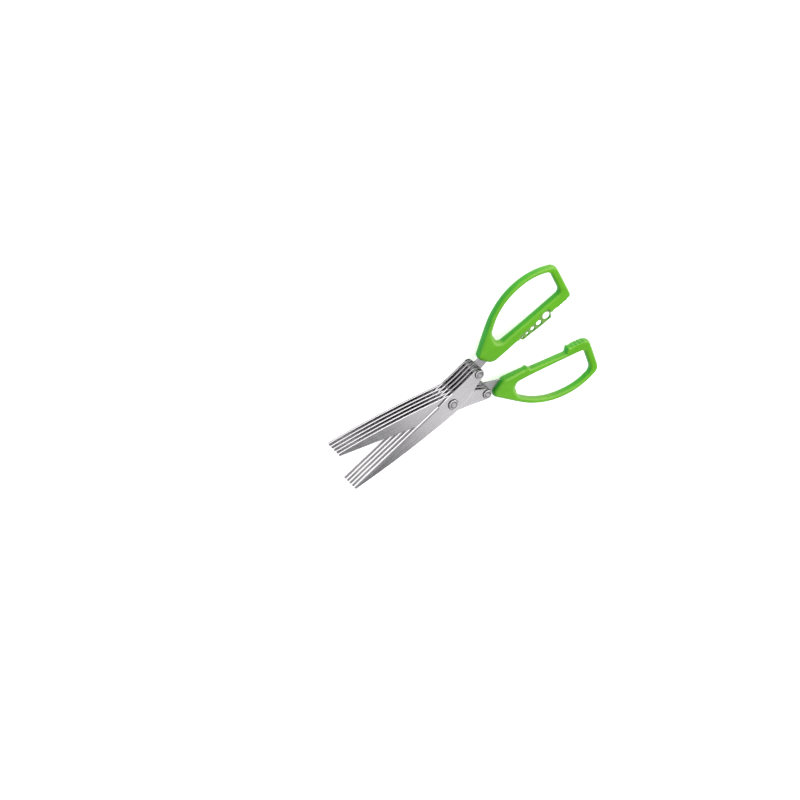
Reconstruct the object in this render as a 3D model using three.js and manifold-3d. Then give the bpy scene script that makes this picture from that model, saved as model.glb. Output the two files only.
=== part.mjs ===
// Herb scissors: five pairs of steel blades on one pivot rivet, each half held by a moulded loop handle.
// Millimetres. Z is the pivot axis and X points to the blade tips. The scissors lie flat, and the back
// head of the pivot rivet rests at z = 0. Half A has the handle with the herb stripper, half B is the
// same stack of blades turned over, with a handle that has a recess for the stripper.
// Both halves are drawn in one blade frame: the pivot at the origin, the tip on +X, the spine towards +Y.
import * as THREE from 'three';
import { mergeVertices } from 'three/addons/utils/BufferGeometryUtils.js';
import Module from 'manifold-3d';

const wasm = await Module();
wasm.setup();

// How far the scissors stand open, between the two blade centre lines, in degrees
const openAngle = 19.66;

// Blades: outline
const bladeCount = 5;
const bladeThickness = 1.5;
const bladeReach = 88;
const tipWidth = 2;
const tipDrop = 0.7;
const spineHeight = 6.8;
const spineBendShares = { along: 0.51, up: 1.015 };
const shoulderSetback = 1.8;
const bellyDrop = 7.5;
const heelReach = 9.3;
const heelDrop = 6.6;
const heelStep = 0.6;

// Blades: ground cutting edge
const grindWidth = 1.4;
const edgeLand = 0.25;

// Tangs: the blade ends behind the pivot
const tangReach = 26.6;
const tangDrop = 5.4;
const tangEndRadius = 4.2;
const tangBendReach = 17.8;
const tangBendHeight = 2.4;
const tangCurveShares = { along: 0.82, down: 0.11 };
const tangWaistShare = 0.45;
const tangWaistDrop = 7.8;

// The middle tang of each half, which the handle is moulded on
const tailDepth = 13.3;
const tailInnerDrop = 5.7;
const tailWidth = 5;
const tailSlotClearance = 0.2;

// Pivot rivet, tang rivets, washers and spacers
const pivotShaftRadius = 2.7;
const tangShaftRadius = 2;
const boreClearance = 0.1;
const pivotHeadRadius = 3.9;
const pivotHeadHeight = 1.1;
const tangHeadRadius = 3.4;
const tangHeadHeight = 1;
const headRound = 0.7;
const runningGap = 0.2;
const washerThickness = 0.46;
const washerRadius = 5;
const spacerRadius = 3.6;
const slipClearance = 0.05;

// Handles: sizes that both share
const handleGap = 2.4;
const handleLength = 80.6;
const noseSetback = 0.15;
const loopDepth = 39;
const loopBar = 4.2;
const endBar = 5.8;
const webLength = 17;
const webThickness = 8;
const loopThickness = 6.4;
const handleRound = 2;
const sideBowShare = 0.004;
const roundLimitShare = 0.45;
const taperShares = { from: 0.15, to: 0.4 };

// Corners of the outer edge of a loop, past its nose: the way along the handle as a share of its length,
// and the depth below the centre line and the radius of the rounding as shares of loopDepth
const loopCornerShares = [
  { along: 0.414, down: 1, round: 1.31 },
  { along: 0.795, down: 1, round: 1.27 },
  { along: 1, down: 0.76, round: 0.16 },
];
const openingRounds = { nearOuter: 7.4, farInner: 3.6, nearInner: 4.5 };

// Handles: the inner edge and nose of each, measured from the nose and the centre line of its own blade
const handleEdges = {
  a: { far: -0.4, farRound: 2.6, near: 0.1, nearSetback: 5.6, noseTop: 8.6, noseFloor: 12, innerBar: 8.4 },
  b: { far: -2.5, farRound: 4.5, near: -3.9, nearSetback: 8.8, noseTop: 11, noseFloor: 14.3, innerBar: 7.2 },
};
const farSetback = 3.2;
const edgeRounds = { near: 4, nose: 4.5, noseFloor: 2.5 };

// Herb stripper on handle A: a thin plate with graded holes, standing in a pocket of the inner edge
const stripperSetback = 30.8;
const stripperLength = 28.4;
const stripperThickness = 1.8;
const stripperHeight = 4.2;
const stripperNearHeight = 3.4;
const stripperTopShare = 0.6;
const stripperCornerDrop = 4;
const stripperCornerLean = 1.8;
const stripperHoleRadii = [3, 2.2, 1.7, 1.25, 0.85];
const stripperRim = 0.9;
const stripperLand = 1.9;
const stripperRoot = 1.5;
const pocketDrop = 2.6;
const pocketFarDrop = 4.6;

// Recess in handle B, which the stripper closes into
const recessFarClearance = 1.2;
const recessNearClearance = 2.2;
const recessDrop = 6.3;
const recessNearDrop = 5.3;
const recessLean = 2;

// Grip teeth on the inner edge at the end of both handles
const gripCount = 3;
const gripPitch = 3;
const gripRadius = 1.2;
const gripDepth = 0.5;
const gripSetback = 8.6;

// How finely round shapes are drawn, and how far a cutter runs past what it cuts
const roundSides = 24;
const arcStep = THREE.MathUtils.degToRad(18);
const edgeStep = 5;
const shortestEdge = 0.3;
const bevelSteps = 3;
const overrun = 2;

// Heights in the stack, from its middle plane
const washerGap = washerThickness + 2 * slipClearance;
const pairHeight = 2 * bladeThickness + runningGap;
const pairPitch = pairHeight + washerGap;
const stackTop = (bladeCount * pairHeight + (bladeCount - 1) * washerGap) / 2;
const middleHeight = pivotHeadHeight + slipClearance + stackTop;
const middleBlade = Math.floor(bladeCount / 2);
const bladeBottom = (index) => stackTop - index * pairPitch - bladeThickness;

// Ways from the pivot back to the ends of the handles, of the tail, of the stripper and of its recess
const handleStart = tangReach + tangEndRadius + handleGap;
const handleEnd = handleStart + handleLength;
const tailReach = handleStart + tailDepth;
const stripperNear = handleStart + stripperSetback;
const stripperFar = stripperNear + stripperLength;
const recessNear = stripperNear - recessNearClearance;
const recessFar = stripperFar + recessFarClearance;

const pivotBoreRadius = pivotShaftRadius + boreClearance;
const tangBoreRadius = tangShaftRadius + boreClearance;
const tangRivetPlace = new THREE.Vector2(-tangReach, -tangDrop);

const steel = { color: 0xc8c8ca, roughness: 0.28, metalness: 1 };
const darkSteel = { color: 0x8d8d90, roughness: 0.4, metalness: 1 };
const greenPlastic = { color: 0x5fb52e, roughness: 0.38, metalness: 0 };

// Turns a closed three.js geometry into a solid for joining and cutting
function toSolid(geometry) {
  const bare = geometry.clone();
  bare.deleteAttribute('normal');
  bare.deleteAttribute('uv');
  const merged = mergeVertices(bare);
  return new wasm.Manifold(new wasm.Mesh({
    numProp: 3,
    vertProperties: merged.attributes.position.array,
    triVerts: new Uint32Array(merged.index.array),
  }));
}

// Turns a solid back into a geometry with flat faces
function toGeometry(solid) {
  const mesh = solid.getMesh();
  const geometry = new THREE.BufferGeometry();
  geometry.setAttribute('position', new THREE.BufferAttribute(mesh.vertProperties, mesh.numProp));
  geometry.setIndex(new THREE.BufferAttribute(mesh.triVerts, 1));
  const flat = geometry.toNonIndexed();
  flat.computeVertexNormals();
  return flat;
}

// A plate of one outline between two heights
function plate(outline, bottom, top) {
  const shape = outline instanceof THREE.Shape ? outline : new THREE.Shape(outline);
  const geometry = new THREE.ExtrudeGeometry(shape, {
    depth: top - bottom,
    bevelEnabled: false,
    curveSegments: roundSides / 4,
  });
  return geometry.translate(0, 0, bottom);
}

// A round hole of a shape, as a polygon that stands clear of a pin of the same centre
function roundHole(centre, radius) {
  const hole = new THREE.Path();
  hole.absarc(centre.x, centre.y, radius, 0, 2 * Math.PI, true);
  return new THREE.Path(hole.getSpacedPoints(roundSides).slice(0, -1));
}

// A round bar along Z, for cutting holes and grooves
function roundBar(x, y, radius, bottom, top) {
  const bar = new THREE.CylinderGeometry(radius, radius, top - bottom, roundSides);
  return bar.rotateX(Math.PI / 2).translate(x, y, (bottom + top) / 2);
}

// The four corners of the middle blade's tail, from its inner edge round to its outer edge
function tailCorners(grow) {
  const root = new THREE.Vector2(-tangReach, -tangDrop);
  return [
    new THREE.Vector2(root.x, root.y + tangEndRadius + grow),
    new THREE.Vector2(-tailReach - grow, -tailInnerDrop + grow),
    new THREE.Vector2(-tailReach - grow, -tailInnerDrop - tailWidth - grow),
    new THREE.Vector2(root.x, root.y - tangEndRadius - grow),
  ];
}

// Outline of a blade: the spine and tip, the cutting edge and heel, and the tang with or without a tail
function bladeShape(hasTail) {
  const shape = new THREE.Shape();
  const edgeFrom = new THREE.Vector2(heelReach, -heelDrop);
  shape.moveTo(bladeReach, -tipDrop);
  shape.lineTo(bladeReach, tipWidth - tipDrop);
  shape.quadraticCurveTo(
    bladeReach * spineBendShares.along,
    spineHeight * spineBendShares.up,
    -shoulderSetback,
    spineHeight,
  );
  shape.lineTo(-tangBendReach, tangBendHeight);
  shape.quadraticCurveTo(
    -tangReach * tangCurveShares.along,
    -tangDrop * tangCurveShares.down,
    -tangReach,
    -tangDrop + tangEndRadius,
  );
  if (hasTail) {
    for (const corner of tailCorners(0).slice(1)) shape.lineTo(corner.x, corner.y);
  } else {
    shape.absarc(tangRivetPlace.x, tangRivetPlace.y, tangEndRadius, Math.PI / 2, -Math.PI / 2, false);
  }
  shape.lineTo(-tangReach * tangWaistShare, -tangWaistDrop);
  shape.lineTo(0, -bellyDrop);
  shape.lineTo(edgeFrom.x, edgeFrom.y + heelStep);
  shape.lineTo(edgeFrom.x, edgeFrom.y);
  shape.closePath();
  shape.holes.push(roundHole(new THREE.Vector2(0, 0), pivotBoreRadius));
  shape.holes.push(roundHole(tangRivetPlace, tangBoreRadius));
  return shape;
}

// The wedge that grinding takes off the front face along the cutting edge, from the heel past the tip
function grindWedge() {
  const heel = new THREE.Vector2(heelReach, -heelDrop);
  const tip = new THREE.Vector2(bladeReach, -tipDrop);
  const along = tip.clone().sub(heel);
  const slope = (bladeThickness - edgeLand) / grindWidth;
  const section = new THREE.Shape([
    new THREE.Vector2(-overrun, edgeLand - slope * overrun),
    new THREE.Vector2(grindWidth + overrun, bladeThickness + slope * overrun),
    new THREE.Vector2(-overrun, bladeThickness + slope * overrun),
  ]);
  const wedge = new THREE.ExtrudeGeometry(section, {
    depth: along.length() + overrun,
    bevelEnabled: false,
  });
  // The section's first axis becomes the way from the edge to the spine, its second becomes Z
  wedge.applyMatrix4(new THREE.Matrix4().makeBasis(
    new THREE.Vector3(0, 1, 0),
    new THREE.Vector3(0, 0, 1),
    new THREE.Vector3(1, 0, 0),
  ));
  return wedge.rotateZ(along.angle()).translate(heel.x, heel.y, 0);
}

// A blade with its bottom face at z = 0
function bladeGeometry(hasTail) {
  const blank = toSolid(plate(bladeShape(hasTail), 0, bladeThickness));
  return toGeometry(blank.subtract(toSolid(grindWedge())));
}

// A flat ring between two heights
function ringGeometry(centre, outerRadius, innerRadius, bottom, top) {
  const shape = new THREE.Shape(roundHole(centre, outerRadius).getPoints().reverse());
  shape.holes.push(roundHole(centre, innerRadius));
  return plate(shape, bottom, top);
}

// A rivet standing on z = 0, with a flat head of the same form at each end of its shaft
function rivetGeometry(shaftRadius, headRadius, headHeight, grip) {
  const rim = new THREE.Path();
  rim.absarc(headRadius - headRound, headRound, headRound, -Math.PI / 2, 0, false);
  const low = [
    new THREE.Vector2(0, 0),
    ...rim.getPoints(roundSides / 12),
    new THREE.Vector2(headRadius, headHeight),
    new THREE.Vector2(shaftRadius, headHeight),
  ];
  const height = 2 * headHeight + grip;
  const high = low.map((point) => new THREE.Vector2(point.x, height - point.y)).reverse();
  return new THREE.LatheGeometry([...low, ...high], roundSides).rotateX(Math.PI / 2);
}

// The directions and the turn at each corner of a polygon, and how far from the corner its rounding starts.
// Where two roundings don't both fit on a side, they share it in proportion.
function cornerTurns(corners) {
  const turns = corners.map((corner, index) => {
    const at = new THREE.Vector2(corner.x, corner.y);
    const before = corners.at(index - 1);
    const after = corners[(index + 1) % corners.length];
    const into = at.clone().sub(before);
    const out = new THREE.Vector2(after.x, after.y).sub(at);
    const turn = Math.atan2(into.cross(out), into.dot(out));
    const wanted = corner.round * Math.tan(Math.abs(turn) / 2);
    return { at, into, out, turn, wanted };
  });
  return turns.map((corner, index) => {
    const before = turns.at(index - 1);
    const after = turns[(index + 1) % turns.length];
    const fit = Math.min(
      1,
      corner.into.length() / (before.wanted + corner.wanted),
      corner.out.length() / (corner.wanted + after.wanted),
    );
    return { ...corner, reach: corner.wanted * fit };
  });
}

// Rounds the corners of a clockwise polygon and divides its long sides, which bow out a little
function roundedOutline(corners) {
  const points = [];
  for (const { at, into, turn, reach } of cornerTurns(corners)) {
    const way = into.clone().normalize();
    const radius = reach / Math.tan(Math.abs(turn) / 2);
    const start = at.clone().addScaledVector(way, -reach);
    const centre = new THREE.Vector2(-way.y, way.x).multiplyScalar(Math.sign(turn) * radius).add(start);
    const steps = Math.ceil(Math.max(Math.abs(turn) / arcStep, (Math.abs(turn) * radius) / edgeStep));
    for (let step = 0; step <= steps; step += 1) {
      points.push(start.clone().rotateAround(centre, (turn * step) / steps));
    }
  }
  const outline = [];
  points.forEach((point, index) => {
    const next = points[(index + 1) % points.length];
    const side = next.clone().sub(point);
    const bow = new THREE.Vector2(-side.y, side.x).multiplyScalar(4 * sideBowShare);
    const parts = side.length() > shortestEdge ? Math.ceil(side.length() / edgeStep) : 0;
    for (let part = 0; part < parts; part += 1) {
      const share = part / parts;
      outline.push(point.clone().lerp(next, share).addScaledVector(bow, share * (1 - share)));
    }
  });
  return outline;
}

// Corners of the outside of a handle, from the nose down round the loop and back along the inner edge
function handleCorners(edge) {
  const loop = loopCornerShares.map((share) => ({
    x: -handleStart - share.along * handleLength,
    y: -share.down * loopDepth,
    round: share.round * loopDepth,
  }));
  return [
    { x: -handleStart - noseSetback, y: -edge.noseFloor, round: edgeRounds.noseFloor },
    ...loop,
    { x: -handleEnd + farSetback, y: edge.far, round: edge.farRound },
    { x: -handleStart - edge.nearSetback, y: edge.near, round: edgeRounds.near },
    { x: -handleStart, y: -edge.noseTop, round: edgeRounds.nose },
  ];
}

// Where two lines meet, each given by a point and a direction
function meet(first, second) {
  const apart = second.point.clone().sub(first.point);
  const share = apart.cross(second.way) / first.way.cross(second.way);
  return first.point.clone().addScaledVector(first.way, share);
}

// Corners of the finger opening: each side of the loop moved in by the width of its bar
function openingCorners(corners, edge) {
  const moved = (index, bar) => {
    const from = new THREE.Vector2(corners[index].x, corners[index].y);
    const next = corners[(index + 1) % corners.length];
    const to = new THREE.Vector2(next.x, next.y);
    const way = to.sub(from).normalize();
    return { point: from.addScaledVector(new THREE.Vector2(way.y, -way.x), bar), way };
  };
  const sides = [
    moved(0, loopBar),
    moved(1, loopBar),
    moved(2, loopBar),
    moved(3, endBar),
    moved(4, edge.innerBar),
    moved(6, webLength),
  ];
  const rounds = [
    corners[1].round - loopBar,
    corners[2].round - loopBar,
    corners[3].round,
    openingRounds.farInner,
    openingRounds.nearInner,
    openingRounds.nearOuter,
  ];
  return sides.map((side, index) => {
    const at = meet(side, sides[(index + 1) % sides.length]);
    return { x: at.x, y: at.y, round: rounds[index] };
  });
}

// Thins the handle from its web to its loop
function taper(geometry) {
  const from = handleStart + taperShares.from * handleLength;
  const to = handleStart + taperShares.to * handleLength;
  const position = geometry.attributes.position;
  for (let index = 0; index < position.count; index += 1) {
    const share = THREE.MathUtils.smoothstep(-position.getX(index), from, to);
    const scale = THREE.MathUtils.lerp(1, loopThickness / webThickness, share);
    position.setZ(index, position.getZ(index) * scale);
  }
  return geometry;
}

// The plain moulding of a handle about the middle plane, with its slot for the tail of the middle blade
function handleBlank(edge) {
  const corners = handleCorners(edge);
  const shape = new THREE.Shape(roundedOutline(corners).reverse());
  shape.holes.push(new THREE.Path(roundedOutline(openingCorners(corners, edge))));
  const round = Math.min(handleRound, roundLimitShare * loopBar, roundLimitShare * webThickness);
  const body = new THREE.ExtrudeGeometry(shape, {
    depth: webThickness - 2 * round,
    bevelThickness: round,
    bevelSize: round,
    bevelOffset: -round,
    bevelSegments: bevelSteps,
  }).translate(0, 0, round - webThickness / 2);
  const slotBottom = bladeBottom(middleBlade) - tailSlotClearance;
  const slotTop = bladeBottom(middleBlade) + bladeThickness + tailSlotClearance;
  const slot = plate(tailCorners(tailSlotClearance), slotBottom, slotTop);
  return toSolid(taper(body)).subtract(toSolid(slot));
}

// Grooves across the inner edge at the end of a handle
function withGripTeeth(handle, edge) {
  let cut = handle;
  for (let tooth = 0; tooth < gripCount; tooth += 1) {
    const x = -handleEnd + gripSetback + tooth * gripPitch;
    const y = edge.far + gripRadius - gripDepth;
    cut = cut.subtract(toSolid(roundBar(x, y, gripRadius, -webThickness, webThickness)));
  }
  return cut;
}

// Height of the stripper's top edge at a distance from the pivot
function stripperTop(reach) {
  const rise = stripperLength * stripperTopShare;
  const share = THREE.MathUtils.clamp((reach - stripperNear) / rise, 0, 1);
  return THREE.MathUtils.lerp(stripperNearHeight, stripperHeight, share);
}

function stripperHandle() {
  const edge = handleEdges.a;
  const farWall = -stripperFar - stripperCornerLean / 2;
  const bigHoleFrom = -stripperFar + stripperRim + 2 * stripperHoleRadii[0] + stripperLand / 2;
  const pocket = plate([
    new THREE.Vector2(-stripperNear, overrun + edge.near),
    new THREE.Vector2(farWall, overrun + edge.near),
    new THREE.Vector2(farWall, -pocketFarDrop),
    new THREE.Vector2(bigHoleFrom, -pocketFarDrop),
    new THREE.Vector2(bigHoleFrom + pocketFarDrop - pocketDrop, -pocketDrop),
    new THREE.Vector2(-stripperNear, -pocketDrop),
  ], -webThickness, webThickness);

  const topFrom = stripperNear + stripperLength * stripperTopShare;
  const stripperBlank = plate([
    new THREE.Vector2(-stripperNear + stripperRoot, -pocketFarDrop - stripperRoot),
    new THREE.Vector2(-stripperNear + stripperRoot, -pocketDrop),
    new THREE.Vector2(-stripperNear, edge.near),
    new THREE.Vector2(-stripperNear - stripperCornerLean, stripperNearHeight),
    new THREE.Vector2(-topFrom, stripperHeight),
    new THREE.Vector2(-stripperFar + stripperCornerLean, stripperHeight),
    new THREE.Vector2(-stripperFar, stripperHeight - stripperCornerDrop),
    new THREE.Vector2(-stripperFar, -pocketFarDrop - stripperRoot),
  ], -stripperThickness / 2, stripperThickness / 2);

  let handle = handleBlank(edge).subtract(toSolid(pocket)).add(toSolid(stripperBlank));
  let reach = stripperFar - stripperRim;
  for (const radius of stripperHoleRadii) {
    reach -= radius;
    const y = stripperTop(reach) - stripperRim - radius;
    handle = handle.subtract(toSolid(roundBar(-reach, y, radius, -stripperThickness, stripperThickness)));
    reach -= radius + stripperLand;
  }
  return toGeometry(withGripTeeth(handle, edge));
}

function recessHandle() {
  const edge = handleEdges.b;
  const recess = plate([
    new THREE.Vector2(-recessNear, overrun),
    new THREE.Vector2(-recessFar, overrun),
    new THREE.Vector2(-recessFar, edge.far),
    new THREE.Vector2(-recessFar + recessLean, -recessDrop),
    new THREE.Vector2(-recessNear - recessLean, -recessNearDrop),
    new THREE.Vector2(-recessNear, edge.near),
  ], -webThickness, webThickness);
  const handle = handleBlank(edge).subtract(toSolid(recess));
  return toGeometry(withGripTeeth(handle, edge));
}

function namedMesh(name, geometry, finish, z = 0) {
  const mesh = new THREE.Mesh(geometry, new THREE.MeshStandardMaterial(finish));
  mesh.name = name;
  mesh.position.z = z;
  return mesh;
}

// One half: blades, tang rivet, spacers and handle, all about the middle plane of the stack
function half(letter, numberOf, handle) {
  const group = new THREE.Group();
  for (let index = 0; index < bladeCount; index += 1) {
    const blade = bladeGeometry(index === middleBlade);
    group.add(namedMesh(`blade_${letter}${numberOf(index)}`, blade, steel, bladeBottom(index)));
  }
  const spacerHeight = pairPitch - bladeThickness - 2 * slipClearance;
  for (let index = 1; index < bladeCount; index += 1) {
    const spacer = ringGeometry(tangRivetPlace, spacerRadius, tangBoreRadius, 0, spacerHeight);
    const number = Math.min(numberOf(index - 1), numberOf(index));
    const bottom = bladeBottom(index) + bladeThickness + slipClearance;
    group.add(namedMesh(`tang_spacer_${letter}${number}`, spacer, darkSteel, bottom));
  }
  const grip = stackTop - bladeBottom(bladeCount - 1) + 2 * slipClearance;
  const rivet = rivetGeometry(tangShaftRadius, tangHeadRadius, tangHeadHeight, grip);
  rivet.translate(tangRivetPlace.x, tangRivetPlace.y, 0);
  const rivetBottom = bladeBottom(bladeCount - 1) - slipClearance - tangHeadHeight;
  group.add(namedMesh(`tang_rivet_${letter}`, rivet, steel, rivetBottom));
  group.add(namedMesh(`handle_${letter}`, handle, greenPlastic));
  return group;
}

const herbScissors = new THREE.Group();

const halfA = half('a', (index) => index + 1, stripperHandle());
halfA.position.z = middleHeight;
halfA.rotation.z = THREE.MathUtils.degToRad(openAngle / 2);
herbScissors.add(halfA);

// Half B is turned over about X, so that its first blade lies at the back of the stack
const halfB = half('b', (index) => bladeCount - index, recessHandle());
const turnedOver = new THREE.Group();
halfB.rotation.x = Math.PI;
turnedOver.add(halfB);
turnedOver.position.z = middleHeight;
turnedOver.rotation.z = THREE.MathUtils.degToRad(-openAngle / 2);
herbScissors.add(turnedOver);

const pivotGrip = 2 * (stackTop + slipClearance);
const pivotRivet = rivetGeometry(pivotShaftRadius, pivotHeadRadius, pivotHeadHeight, pivotGrip);
herbScissors.add(namedMesh('pivot_rivet', pivotRivet, steel));

for (let index = 1; index < bladeCount; index += 1) {
  const centre = new THREE.Vector2(0, 0);
  const washer = ringGeometry(centre, washerRadius, pivotBoreRadius, 0, washerThickness);
  const bottom = middleHeight + bladeBottom(index) + bladeThickness + slipClearance;
  herbScissors.add(namedMesh(`pivot_washer_${index}`, washer, darkSteel, bottom));
}

export default herbScissors;
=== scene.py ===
import math

import bmesh
import bpy
import numpy as np
from bpy.props import FloatProperty, FloatVectorProperty, PointerProperty
from mathutils import Euler, Matrix, Vector
from mathutils.geometry import delaunay_2d_cdt


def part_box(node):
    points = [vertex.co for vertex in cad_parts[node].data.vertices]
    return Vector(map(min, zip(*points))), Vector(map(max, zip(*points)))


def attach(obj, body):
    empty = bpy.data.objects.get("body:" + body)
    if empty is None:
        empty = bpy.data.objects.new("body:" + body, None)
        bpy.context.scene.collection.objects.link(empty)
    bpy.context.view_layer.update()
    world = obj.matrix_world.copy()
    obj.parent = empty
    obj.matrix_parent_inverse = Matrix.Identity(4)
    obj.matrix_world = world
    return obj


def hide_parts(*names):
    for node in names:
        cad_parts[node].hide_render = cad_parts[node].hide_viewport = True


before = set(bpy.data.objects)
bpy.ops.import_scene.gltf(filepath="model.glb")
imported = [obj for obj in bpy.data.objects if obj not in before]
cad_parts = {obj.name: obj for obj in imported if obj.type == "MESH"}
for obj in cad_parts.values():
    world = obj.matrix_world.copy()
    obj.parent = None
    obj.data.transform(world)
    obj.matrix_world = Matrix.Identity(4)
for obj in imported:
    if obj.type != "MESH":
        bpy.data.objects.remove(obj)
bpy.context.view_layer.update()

bl_info = {
    "name": "Herb scissors dressing",
    "version": (1, 0, 0),
    "blender": (4, 5, 0),
    "location": "View3D > Sidebar > Scissors",
    "description": "Builds the fine blades, rivets, rings and moulded handles of herb scissors",
    "category": "Object",
}

# Shapes are drawn in millimetres in the blade frame of their own half: the pivot at the origin, the tip on
# +X, the spine towards +Y and z = 0 in the middle of the stack.
MM = 0.001

OPEN_ANGLE = 19.66
BLADE_COUNT = 5
MIDDLE_BLADE = 3

# Blade sizes
BLADE_REACH = 88.0
TIP_WIDTH = 2.0
TIP_DROP = 0.7
TIP_CORNER = 0.3
TIP_LAND = 0.27
SPINE_HEIGHT = 6.8
SPINE_BEND_SHARES = (0.51, 1.015)
SHOULDER_SETBACK = 1.8
BELLY_DROP = 7.5
HEEL_REACH = 9.3
HEEL_DROP = 6.6
HEEL_STEP = 0.6
GRIND_WIDTH = 1.4
EDGE_LAND = 0.25
TANG_REACH = 26.6
TANG_DROP = 5.4
TANG_END_RADIUS = 4.2
TANG_BEND = (17.8, 2.4)
TANG_CURVE_SHARES = (0.82, 0.11)
TANG_WAIST_SHARE = 0.45
TANG_WAIST_DROP = 7.8
TAIL_DEPTH = 13.3
TAIL_INNER_DROP = 5.7
TAIL_WIDTH = 5.0
PIVOT = (0, 0)
TANG = (-TANG_REACH, -TANG_DROP)

# Points along a blade's outline, and how often its corners are evened out
LINE_SPACING = 1.0
EDGE_SPACING = 2.0
SPINE_STEPS = 90
TANG_STEPS = 10
END_STEPS = 16
CORNER_DEGREES = 15
SOFTENING = 24
BORE_SIDES = 40

# Broken edges of a blade: shares of the edge break and of the bevel, and how much each edge is rubbed
FADE_WIDTH = 0.12
LAND_SHARES = (0.3, 0.6)
ROUNDING_SHARES = ((0.13, 0.5), (0.5, 0.13))
# The honed band reaches these shares up the bevel; its bright steel is a painted highlight of the cutting
# edge.
HONED_HIGHLIGHT_SHARES = (0.44, 0.5)
BEVEL_RUB = 0.35
SIDE_RUBS = (1.0, 0.2)
BORE_RUBS = (0.3, 0.0)

# Rivet and ring sizes
PIVOT_SHAFT = 2.7
TANG_SHAFT = 2.0
PIVOT_HEAD = (3.9, 1.1)
TANG_HEAD = (3.4, 1.0)
HEAD_CROWN = 0.1
HEAD_FOOT = 0.08
FOOT_SHARE = 0.12
GROOVE_HALF = 0.28
CROWN_STEPS = 5
GROOVE_STEPS = 8
RIM_STEPS = 8
BORE_CLEARANCE = 0.1
WASHER_RADIUS = 5.0
SPACER_RADIUS = 3.6
ROUND_SIDES = 72
LIP_RUB, WALL_RUB, FOOT_RUB = 0.9, 0.2, 0.4
RING_RUBS = (0.4, 0.6, 0.8, 1.0)

# Handle sizes
HANDLE_GAP = 2.4
HANDLE_START = TANG_REACH + TANG_END_RADIUS + HANDLE_GAP
HANDLE_LENGTH = 80.6
HANDLE_END = HANDLE_START + HANDLE_LENGTH
NOSE_SETBACK = 0.15
LOOP_DEPTH = 39.0
LOOP_BAR = 4.2
END_BAR = 5.8
WEB_LENGTH = 17.0
WEB_THICKNESS = 8.0
LOOP_THICKNESS = 6.4
SIDE_BOW_SHARE = 0.004
TAPER_SHARES = (0.15, 0.4)
LOOP_CORNER_SHARES = ((0.414, 1.0, 1.31), (0.795, 1.0, 1.27), (1.0, 0.76, 0.16))
OPENING_ROUNDS = (3.6, 4.5, 7.4)
INNER_EDGES = {
    "a": {
        "far": -0.4, "far_round": 2.6, "near": 0.1, "near_setback": 5.6, "near_round": 7.0,
        "nose_top": 8.6, "nose_round": 8.0, "nose_floor": 12.0, "bar": 8.4,
    },
    "b": {
        "far": -2.5, "far_round": 4.5, "near": -3.9, "near_setback": 8.8, "near_round": 4.0,
        "nose_top": 11.0, "nose_round": 4.5, "nose_floor": 14.3, "bar": 7.2,
    },
}
INNER_SIDE = 4
FAR_SETBACK = 3.2
FAR_SPAN = 3.0
NOSE_FLOOR_ROUND = 3.2

# Edge radii of the handles
LOOP_EDGE = 1.8
FAR_EDGE = 1.7
NEAR_EDGES = (2.0, 2.6)
NOSE_EDGE = 3.4
NOSE_FLOOR_EDGE = 2.6
OPENING_EDGES = ((LOOP_EDGE,), (LOOP_EDGE,), (LOOP_EDGE,), (LOOP_EDGE,), (2.0, 4.2), (3.3, 1.7))
EDGE_FALL_SHARE = 1.5
FALL_LIMIT_SHARE = 0.85
EDGE_LIMIT_SHARE = 0.9
# How strongly a rounded edge's crest counts as rubbed, which also places the painted crest highlight on the
# handles.
CREST_RUB_AND_HIGHLIGHT = 2.6

# Stripper plate, its pocket and its recess. The rounds hold each corner's rounding and edge radius.
STRIPPER_SETBACK = 30.8
STRIPPER_NEAR = HANDLE_START + STRIPPER_SETBACK
STRIPPER_LENGTH = 28.4
STRIPPER_FAR = STRIPPER_NEAR + STRIPPER_LENGTH
STRIPPER_THICKNESS = 1.8
STRIPPER_HEIGHTS = (3.4, 4.2)
STRIPPER_TOP_SHARE = 0.6
STRIPPER_CORNER = (1.8, 4.0)
STRIPPER_ROUNDS = (0, 0, 0.4, 0.7, 3.0, 0.7, 0.9, 0)
STRIPPER_EDGE = 0.18
STRIPPER_HOLES = (3.0, 2.2, 1.7, 1.25, 0.85)
STRIPPER_RIM = 0.9
STRIPPER_LAND = 1.9
STRIPPER_ROOT = 1.5
HOLE_EDGE = 0.14
PLATE_DRAFT = 0.02
POCKET_DROP = 2.6
POCKET_FAR_DROP = 4.6
POCKET_GAP = 0.3
POCKET_LEADS = (2.0, 1.8)
POCKET_ROUNDS = (
    (0, 1.5), (1.2, 1.0), (0.9, 0.6), (0.8, 0.5), (1.5, 0.5), (0.8, 0.5), (1.0, 0.8), (0, 1.4),
)
RECESS_MARGINS = (2.2, 1.2)
RECESS_DROPS = (5.3, 6.3)
RECESS_LEAN = 2.0
RECESS_LEAD = 1.4
RECESS_ROUNDS = ((0, 1.3), (1.2, 1.0), (0.9, 1.4), (1.4, 1.7), (1.2, 1.0), (0, 1.3))
GRIP = {
    "count": 3, "pitch": 3.0, "radius": 2.0, "depth": 0.2, "setback": 8.6, "edge": 0.8,
    "shoulder": 0.2, "steps": 8,
}

# Spacing of the points of a handle, and the steps of its arcs and rounded edges
OUTLINE_SPACING = 1.6
OPENING_SPACING = 1.4
NOTCH_SPACING = 0.8
PLATE_SPACING = 1.2
CAP_SPACING = 2.2
ARC_STEP = math.radians(9)
TOUCHING = 0.04
EDGE_STEPS = 7
PLATE_STEPS = 4
HOLE_SIDES = 44

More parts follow.
